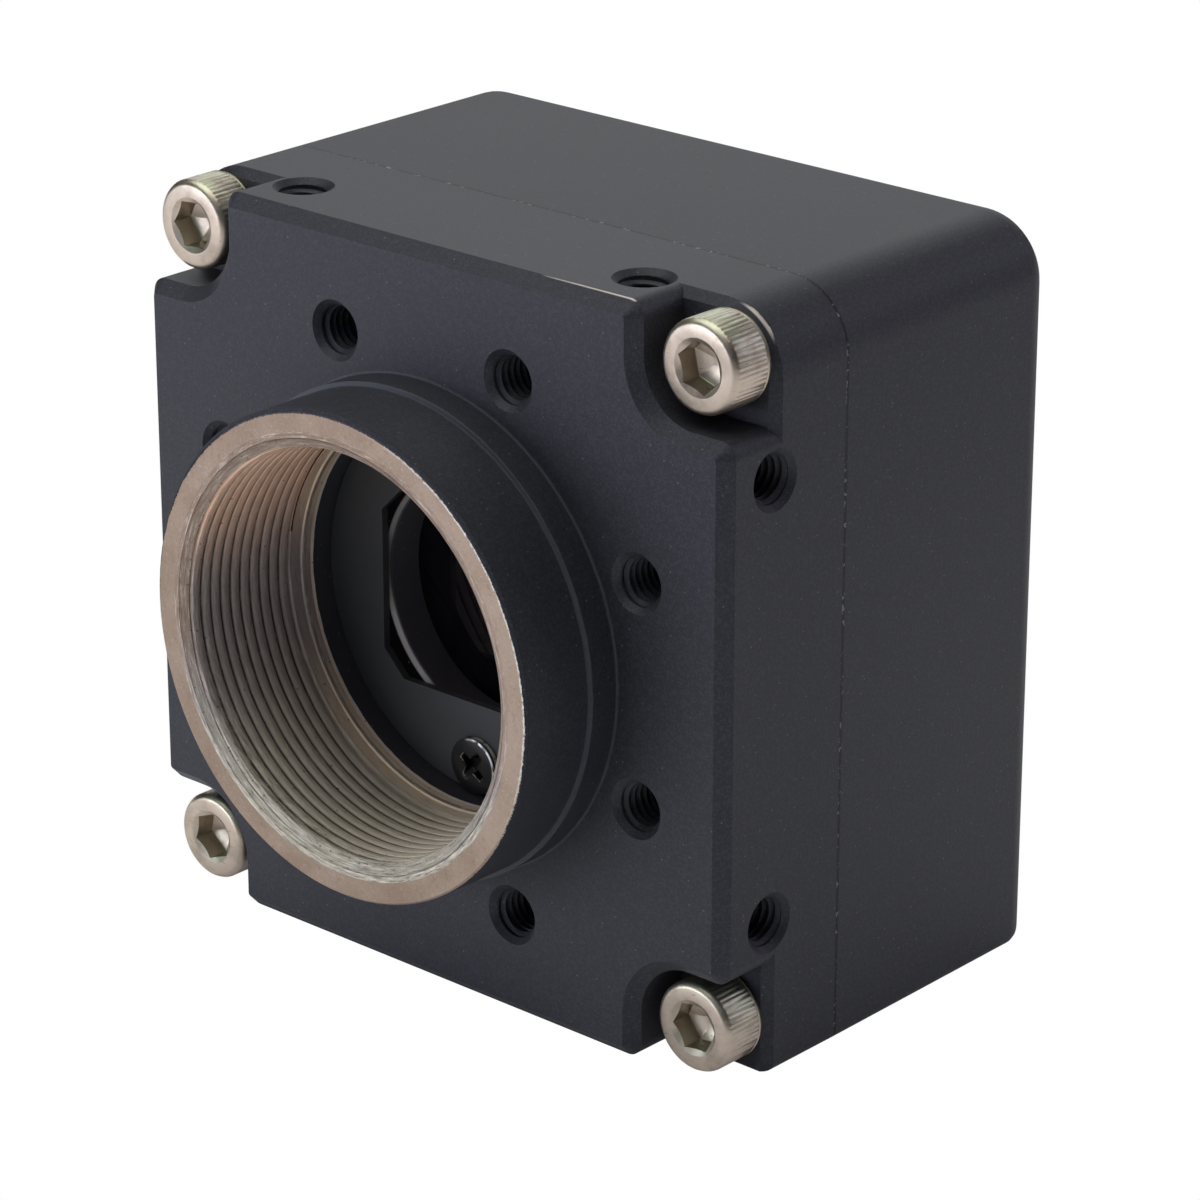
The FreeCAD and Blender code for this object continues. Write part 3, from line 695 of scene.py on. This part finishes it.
class Skin:
    # collects points and faces, ring by ring
    def __init__(self):
        self.points = []
        self.faces = []

    def ring(self, points):
        start = len(self.points)
        self.points += points
        return list(range(start, start + len(points)))

    def between(self, first, second, closed=True):
        count = len(first)
        for k in range(count if closed else count - 1):
            n = (k + 1) % count
            self.faces.append((first[k], first[n], second[n], second[k]))

    def cap(self, ring, centre):
        self.points.append(centre)
        tip = len(self.points) - 1
        for k in range(len(ring)):
            self.faces.append((ring[k], ring[(k + 1) % len(ring)], tip))


def across(axis):
    # two directions across an axis
    side = Vector((0, 0, 1)) if abs(axis.z) < 0.9 else Vector((1, 0, 0))
    first = axis.cross(side).normalized()
    return first, axis.cross(first).normalized()


def polarRing(skin, x, z, steps, radius, depth, turn=0.0):
    # a ring about an axis that runs along the depth; the radius may be a function of the angle,
    # and the depth one of the angle and the radius
    points = []
    for k in range(steps):
        a = 2 * math.pi * k / steps
        r = radius(a) if callable(radius) else radius
        d = depth(a, r) if callable(depth) else depth
        points.append(at(x + r * math.cos(a + turn), d, z + r * math.sin(a + turn)))
    return skin.ring(points)


def addTurned(skin, x, z, outline, steps, turn=0.0, closed=False):
    # outline is a run of pairs of radius and depth, open or closed
    rings = [polarRing(skin, x, z, steps, radius, depth, turn) for radius, depth in outline]
    for first, second in zip(rings, rings[1:] + (rings[:1] if closed else [])):
        skin.between(first, second)
    return rings


# share of the pitch and of the height of each corner of a thread: a V with flats, and one that is
# wide and rounded, with narrow grooves
plainThread = ((0.0, 0.0), (0.08, 0.0), (0.4, 1.0), (0.6, 1.0), (0.92, 0.0))
wornThread = ((0.0, 0.0), (0.05, 0.5), (0.14, 0.85), (0.3, 0.97), (0.5, 1.0), (0.7, 0.97), (0.86, 0.85),
              (0.95, 0.5))
# share of a pitch in which the turns run out, and how far roots and mouth sink into the wall
threadFit = {"runOut": 0.8, "sunk": 0.01, "mouthSunk": 0.015}


def addThread(skin, mouth, inward, major, minor, pitch, start, end, steps, cone=None, shape=plainThread,
              fadeTo=0.0):
    # a helical thread on the wall of a bore (minor < major) or on a shaft (minor > major);
    # cone is the radius and slope of a bevelled mouth that the thread grows out of, and fadeTo
    # how far behind its end such a thread would fade out
    first, second = across(inward)
    sunk = threadFit["sunk"]
    runOut = pitch * threadFit["runOut"]
    turns = math.ceil((end - start) / pitch) + 2
    rows = []
    for turn in range(turns):
        for share, height in shape:
            row = []
            for k in range(steps + 1):
                rise = start + (turn - 1 + share + k / steps) * pitch
                along = min(max(rise, start), end)
                fade = min(1.0, (along - start) / runOut, (end - along) / runOut)
                if cone:
                    fade = min(1.0, (end + fadeTo - along) / runOut)
                radius = major + (minor - major) * height * max(fade, 0.0)
                if height == 0.0 or fade <= 0.0:
                    radius += sunk if minor < major else -sunk
                if cone:
                    radius = min(max(radius, minor), major + sunk)
                    radius = max(radius, cone[0] - cone[1] * along - threadFit["mouthSunk"])
                angle = 2 * math.pi * k / steps
                offset = first * (radius * math.cos(angle)) + second * (radius * math.sin(angle))
                row.append((mouth + (inward * along + offset)) * mm)
            rows.append(skin.ring(row))
    for lower, upper in zip(rows, rows[1:]):
        skin.between(lower, upper, closed=False)


lensThread = {"major": 12.7, "minor": 12.31, "pitch": 25.4 / 32, "start": 0.02, "end": 8.49, "steps": 180,
              "mouthRadius": 13.0, "mouthSlope": 1.3, "fadeTo": 2.0}


def buildLensThread():
    p = lensThread
    skin = Skin()
    cone = (p["mouthRadius"], p["mouthSlope"])
    addThread(skin, base(0, -layout["barrelLength"], 0), Vector((0, 1, 0)), p["major"], p["minor"],
              p["pitch"], p["start"], p["end"], p["steps"], cone, wornThread, p["fadeTo"])
    return addPiece("lensThread", skin.points, skin.faces, "black_anodised_body")


buildLensThread()
print("stage: lens thread")


holeThread = {"major": 1.5, "minor": 1.27, "pitch": 0.5, "start": 0.37, "end": 4.9, "steps": 28,
              "frontHoles": 8, "frontCircle": 17.75, "sideHalf": 13.3, "setback": 4.1}


def buildHoleThreads():
    p = holeThread
    skin = Skin()
    spots = []
    circle = p["frontCircle"]
    for k in range(p["frontHoles"]):
        angle = 2 * math.pi * (k + 0.5) / p["frontHoles"]
        spots.append((base(circle * math.cos(angle), 0, circle * math.sin(angle)), Vector((0, 1, 0))))
    half = layout["halfBody"]
    for along in (-p["sideHalf"], p["sideHalf"]):
        for way in (-1, 1):
            spots.append((base(way * half, p["setback"], along), Vector((-way, 0, 0))))
            spots.append((base(along, p["setback"], way * half), Vector((0, 0, -way))))
    for mouth, inward in spots:
        addThread(skin, mouth, inward, p["major"], p["minor"], p["pitch"], p["start"], p["end"], p["steps"])
    return addPiece("fixingHoleThreads", skin.points, skin.faces, "black_anodised_body")


buildHoleThreads()
print("stage: fixing hole threads")


cornerScrew = {
    "centre": 19.8,
    "headFront": 1.1,
    "headRadius": 2.75,
    "headHeight": 3.0,
    # the head's outline: inset from its radius, depth behind its front, and 1 where the knurl cuts in
    "outline": ((0.39, 0.0, 0), (0.25, 0.05, 0), (0.1, 0.18, 0), (0.035, 0.3, 0), (0.0, 0.38, 1),
                (0.0, 2.58, 1), (0.05, 2.64, 0), (0.05, 2.7, 0), (0.0, 2.74, 0), (0.12, 3.0, 0)),
    "teeth": 54,
    "toothDepth": 0.03,
    "toothShare": 0.4,
    "toothFlank": 1.6,
    "socket": 2.72,
    "socketDepth": 1.5,
    "socketTip": 0.35,
    "floorShare": 0.96,
    "floorBevel": 0.05,
    "mouthRadius": 1.7,
    "mouthSlope": 0.6,
    "shankRadius": 1.5,
    "shankLength": 12.0,
    "tip": (0.3, 0.35),
    "steps": 240,
    "turn": (0.35, 1.1, 0.1, 0.75),
}


def hexRadius(width, angle):
    sector = (angle % (math.pi / 3)) - math.pi / 6
    return width / 2 / math.cos(sector)


def tooth(a, p):
    # depth of the knurl's grooves round the head
    wave = math.cos(a * p["teeth"])
    return p["toothDepth"] * max(0.0, min(1.0, -p["toothShare"] - p["toothFlank"] * wave))


def buildCornerScrews():
    p = cornerScrew
    skin = Skin()
    front = p["headFront"]
    back = front + p["headHeight"]
    end = back + p["shankLength"]
    floor = front + p["socketDepth"]
    narrower, shorter = p["tip"]

    def hexAt(a):
        return hexRadius(p["socket"], a)

    def coneDepth(a, r):
        return front + max(0.0, p["mouthRadius"] - r) * p["mouthSlope"]

    outline = [
        (lambda a: hexAt(a) * p["floorShare"], floor), (hexAt, floor - p["floorBevel"]), (hexAt, coneDepth),
        (p["mouthRadius"], front),
    ]
    for inset, behind, cut in p["outline"]:
        radius = p["headRadius"] - inset
        outline.append(((lambda a, radius=radius: radius - tooth(a, p)) if cut else radius, front + behind))
    shank = p["shankRadius"]
    outline += [(shank, back), (shank, end - shorter), (shank - narrower, end)]
    places = [(x * p["centre"], z * p["centre"]) for x in (-1, 1) for z in (-1, 1)]
    for (x, z), turn in zip(places, p["turn"]):
        rings = addTurned(skin, x, z, outline, p["steps"], turn)
        skin.cap(rings[0], at(x, floor + p["socketTip"], z))
        skin.cap(rings[-1], at(x, end, z))
    return addPiece("cornerScrews", skin.points, skin.faces, "stainless_screw", ("corner_screws",),
                    sharpDegrees=28)


buildCornerScrews()
print("stage: corner screws")


def crossDepth(a, r, p):
    # depth of the cross recess: deep in the middle, running out along each arm
    x, z = abs(r * math.cos(a)), abs(r * math.sin(a))
    along, beside = max(x, z), min(x, z)
    wide, taper = p["armTaper"]
    width = p["armHalf"] * (wide - taper * along / p["armReach"])
    inside = min(max((width - beside) / p["armEdge"], 0.0), 1.0)
    fall = min(max((p["armReach"] - along) / p["armRunOut"], 0.0), 1.0)
    return p["recess"] * inside * fall


def buildMaskScrews():
    p = maskScrew
    skin = Skin()
    seat = p["headFront"] + p["headHeight"]
    end = seat + p["shankLength"]
    below = ((p["headRadius"], seat), (p["shankRadius"], seat), (p["shankRadius"], end))

    def faceDepth(a, r):
        return p["headFront"] + p["dome"] * (r / p["headRadius"]) ** 3 + crossDepth(a, r, p)

    for way, turn in zip((-1, 1), p["turn"]):
        z = way * p["offset"]
        rings = [polarRing(skin, 0, z, p["steps"], p["headRadius"] * (row + 1) / p["rows"], faceDepth, turn)
                 for row in range(p["rows"])]
        rings += [polarRing(skin, 0, z, p["steps"], radius, depth) for radius, depth in below]
        for first, second in zip(rings, rings[1:]):
            skin.between(first, second)
        skin.cap(rings[0], at(0, p["headFront"] + p["recess"], z))
        skin.cap(rings[-1], at(0, end, z))
    return addPiece("maskScrews", skin.points, skin.faces, "blackened_screw", ("mask_screws",),
                    sharpDegrees=40)


buildMaskScrews()
print("stage: mask screws")


# The rear housing's rim is rounder than its solid's
rearRim = {"solidRadius": 1.3, "radius": 2.1, "upperEdge": 4.0, "slack": 0.001}


def buildRearHousing():
    # a copy of the solid's mesh with its rim fillet enlarged about the rim's outer corner
    p = rearRim
    cleaner = bmesh.new()
    cleaner.from_mesh(nodes["rear_housing"].data)
    bmesh.ops.remove_doubles(cleaner, verts=cleaner.verts, dist=weldDistance)
    half, back = layout["halfBody"], layout["bodyDepth"]
    bend = half - p["upperEdge"]
    grow = p["radius"] / p["solidRadius"]
    band = p["solidRadius"] + p["slack"]
    for vert in cleaner.verts:
        x = vert.co.x / mm
        depth = vert.co.y / mm - layout["frontFaceY"]
        z = vert.co.z / mm - layout["axisZ"]
        behind = back - depth
        insetX, insetZ = half - abs(x), half - abs(z)
        if behind > band:
            continue
        if z > bend and abs(x) > bend:
            reach = math.hypot(abs(x) - bend, z - bend)
            inset = p["upperEdge"] - reach
            if inset > band:
                continue
            scale = (p["upperEdge"] - inset * grow) / reach
            x = math.copysign(bend + (abs(x) - bend) * scale, x)
            z = bend + (z - bend) * scale
        elif min(insetX, insetZ) > band:
            continue
        else:
            if insetX <= band:
                x = math.copysign(half - insetX * grow, x)
            if insetZ <= band:
                z = math.copysign(half - insetZ * grow, z)
        vert.co = at(x, back - behind * grow, z)
    points = [vert.co.copy() for vert in cleaner.verts]
    cleaner.verts.index_update()
    faces = [[vert.index for vert in face.verts] for face in cleaner.faces]
    cleaner.free()
    return addPiece("rearHousing", points, faces, "black_anodised_body", ("rear_housing",))


buildRearHousing()
print("stage: rear housing")


# Round connector on the back: tube with a fine thread, hexagonal nut and contact pins
connector = {"x": -7.55, "z": -11.95, "bore": 3.7, "outer": 4.6, "root": 4.36, "pitch": 0.5, "flange": 5.4,
             "flangeFront": 24.6, "flangeBack": 26.6, "mouth": 33.6, "rimBevel": 0.06, "boreBevel": 0.12,
             "threadStart": 29.4, "steps": 72, "nutFront": 29.0, "nutBack": 30.6, "nutWidth": 11.0,
             "nutFace": 5.15, "nutSlope": 0.5, "nutGap": 0.02, "nutBevel": 0.2, "pins": 6,
             "pinCircle": 2.2, "pinRadius": 0.3, "pinFront": 30.0, "pinBack": 32.6, "pinSteps": 20,
             "pinAngles": (0.4, 0.8, 1.2)}


def buildConnectorShell():
    p = connector
    skin = Skin()
    mouth = p["mouth"]
    outline = [
        (p["bore"], p["flangeFront"]), (p["flange"], p["flangeFront"]), (p["flange"], p["flangeBack"]),
        (p["outer"], p["flangeBack"]), (p["outer"], p["threadStart"]), (p["root"], p["threadStart"]),
        (p["root"], mouth - p["rimBevel"]), (p["root"] - p["rimBevel"], mouth),
        (p["bore"] + p["boreBevel"], mouth), (p["bore"], mouth - p["boreBevel"]),
        (p["bore"], p["flangeFront"]),
    ]
    addTurned(skin, p["x"], p["z"], outline, p["steps"])
    addThread(skin, base(p["x"], mouth, p["z"]), Vector((0, -1, 0)), p["root"], p["outer"], p["pitch"],
              0.0, mouth - p["threadStart"], p["steps"])
    return addPiece("connectorShell", skin.points, skin.faces, "nickel_plated_brass",
                    ("round_connector_shell",), sharpDegrees=40)


def buildConnectorNut():
    p = connector
    skin = Skin()
    front, back = p["nutFront"], p["nutBack"]
    hole = p["outer"] + p["nutGap"]

    def hexAt(a):
        return hexRadius(p["nutWidth"], a)

    def fall(r):
        return max(0.0, r - p["nutFace"]) * p["nutSlope"]

    outline = (
        (hole, front), (p["nutFace"], front), (hexAt, lambda a, r: front + fall(r)),
        (hexAt, lambda a, r: back - fall(r)), (p["nutFace"], back), (hole + p["nutBevel"], back),
        (hole, back - p["nutBevel"]),
    )
    addTurned(skin, p["x"], p["z"], outline, p["steps"], closed=True)
    return addPiece("connectorNut", skin.points, skin.faces, "nickel_plated_brass",
                    ("round_connector_nut",), sharpDegrees=30)


def buildConnectorPins():
    p = connector
    skin = Skin()
    for k in range(p["pins"]):
        a = 2 * math.pi * k / p["pins"]
        x, z = p["x"] + p["pinCircle"] * math.cos(a), p["z"] + p["pinCircle"] * math.sin(a)
        r, tip = p["pinRadius"], p["pinBack"]
        outline = [(r, p["pinFront"]), (r, tip - r)]
        outline += [(r * math.cos(t), tip - r + r * math.sin(t)) for t in p["pinAngles"]]
        rings = addTurned(skin, x, z, outline, p["pinSteps"])
        skin.cap(rings[0], at(x, p["pinFront"], z))
        skin.cap(rings[-1], at(x, tip, z))
    return addPiece("connectorPins", skin.points, skin.faces, "gold_contact", ("round_connector_pins",),
                    sharpDegrees=40)


buildConnectorShell()
buildConnectorNut()
buildConnectorPins()
print("stage: round connector")


# Flat data jack: contacts on both sides of its tongue, and the threads of its locking-screw holes
jack = {"z": -4.15, "contacts": 10, "spacing": 0.86, "width": 0.42, "front": 25.6, "back": 28.25,
        "tongueHalf": 0.35, "lift": 0.03, "sunk": 0.02, "lockX": 9.0, "lockMajor": 1.0, "lockMinor": 0.84,
        "lockPitch": 0.4, "lockStart": 0.05, "lockDepth": 1.75, "lockSteps": 24, "mouth": 29.0}


def addBar(skin, low, high):
    corners = [(x, d, z) for d in (low[1], high[1]) for x, z in
               ((low[0], low[2]), (high[0], low[2]), (high[0], high[2]), (low[0], high[2]))]
    ring = skin.ring([at(*corner) for corner in corners])
    near, far = ring[:4], ring[4:]
    skin.between(near, far)
    skin.faces += [tuple(near), tuple(far)]


def buildJackContacts():
    p = jack
    skin = Skin()
    for k in range(p["contacts"]):
        x = (k - (p["contacts"] - 1) / 2) * p["spacing"]
        for way in (-1, 1):
            inner = p["z"] + way * (p["tongueHalf"] - p["sunk"])
            outer = p["z"] + way * (p["tongueHalf"] + p["lift"])
            low, high = sorted((inner, outer))
            addBar(skin, (x - p["width"] / 2, p["front"], low), (x + p["width"] / 2, p["back"], high))
    return addPiece("jackContacts", skin.points, skin.faces, "gold_contact")


def buildLockThreads():
    p = jack
    skin = Skin()
    for way in (-1, 1):
        addThread(skin, base(way * p["lockX"], p["mouth"], p["z"]), Vector((0, -1, 0)), p["lockMajor"],
                  p["lockMinor"], p["lockPitch"], p["lockStart"], p["lockDepth"], p["lockSteps"])
    return addPiece("lockHoleThreads", skin.points, skin.faces, "black_anodised_body")


buildJackContacts()
buildLockThreads()
print("stage: data jack")


studio = {
    "cameraPlace": (176.25, -194.04, 123.23),
    "azimuth": 41.952,
    "elevation": 21.394,
    "lens": 140.75,
    "sensor": 36.0,
    "clip": (0.01, 10.0),
    "floorSize": 4.0,
    "ambient": 0.02,
    "paperGlow": 0.096,
    "lamps": (
        # place in mm, aim in mm, width and height in mm, strength in watts, colour
        ((-60, -60, 430), (0, 0, 30), 480, 520, 1.42, "fffdf3"),
        ((-240, 330, 230), (0, 10, 30), 420, 260, 0.42, "ffffff"),
        ((260, 330, 230), (0, 10, 30), 420, 260, 0.34, "f6f0ff"),
        ((-245, -412, 30), (0, 0, 20), 420, 200, 1.18, "f4f5ff"),
        ((160, -420, 360), (0, 0, 20), 300, 200, 0.08, "e4ecff"),
    ),
}


def aimedRotation(place, target):
    return (Vector(target) - Vector(place)).to_track_quat("-Z", "Y").to_euler()


def buildStage():
    mesh = bpy.data.meshes.new("paleFloor")
    half = studio["floorSize"] / 2
    corners = [(-half, -half, 0), (half, -half, 0), (half, half, 0), (-half, half, 0)]
    mesh.from_pydata(corners, [], [(0, 1, 2, 3)])
    floor = bpy.data.objects.new("paleFloor", mesh)
    bpy.context.scene.collection.objects.link(floor)
    # white matt paper, plain white where the camera sees it
    s = Finish("palePaper", "ffffff", 0.9)
    s.set("Emission Color", "ffffff")
    s.set("Emission Strength", studio["paperGlow"])
    seen = s.add("MixShader", s.add("LightPath"), s.surface.outputs[0], s.add("Emission", {"Strength": 1.0}))
    feed(s.tree, s.tree.nodes["Material Output"].inputs["Surface"], seen)
    mesh.materials.append(s.material)


def buildLight():
    world = bpy.data.worlds.new("softRoom")
    world.use_nodes = True
    bpy.context.scene.world = world
    tree = world.node_tree
    room = addNode(tree, "Background", "ffffff", studio["ambient"])
    seen = addNode(tree, "MixShader", addNode(tree, "LightPath"), room, addNode(tree, "Background", "ffffff"))
    feed(tree, tree.nodes["World Output"].inputs["Surface"], seen)
    for index, (place, target, width, height, strength, colour) in enumerate(studio["lamps"]):
        lamp = bpy.data.lights.new("softLamp" + str(index), "AREA")
        lamp.shape = "RECTANGLE"
        lamp.size = width * mm
        lamp.size_y = height * mm
        lamp.energy = strength
        lamp.color = toLinear(colour)[:3]
        holder = bpy.data.objects.new("softLamp" + str(index), lamp)
        holder.location = Vector(place) * mm
        holder.rotation_euler = aimedRotation(place, target)
        bpy.context.scene.collection.objects.link(holder)


def buildCamera():
    data = bpy.data.cameras.new("photoCamera")
    data.lens = studio["lens"]
    data.sensor_width = studio["sensor"]
    data.clip_start, data.clip_end = studio["clip"]
    camera = bpy.data.objects.new("photoCamera", data)
    az, el = math.radians(studio["azimuth"]), math.radians(studio["elevation"])
    back = Vector((math.sin(az) * math.cos(el), -math.cos(az) * math.cos(el), math.sin(el)))
    camera.location = Vector(studio["cameraPlace"]) * mm
    camera.rotation_euler = (-back).to_track_quat("-Z", "Y").to_euler()
    bpy.context.scene.collection.objects.link(camera)
    bpy.context.scene.camera = camera
    bpy.context.scene.view_settings.view_transform = "Standard"


buildStage()
buildLight()
buildCamera()
print("stage: floor, lamps and camera")

bpy.context.view_layer.update()
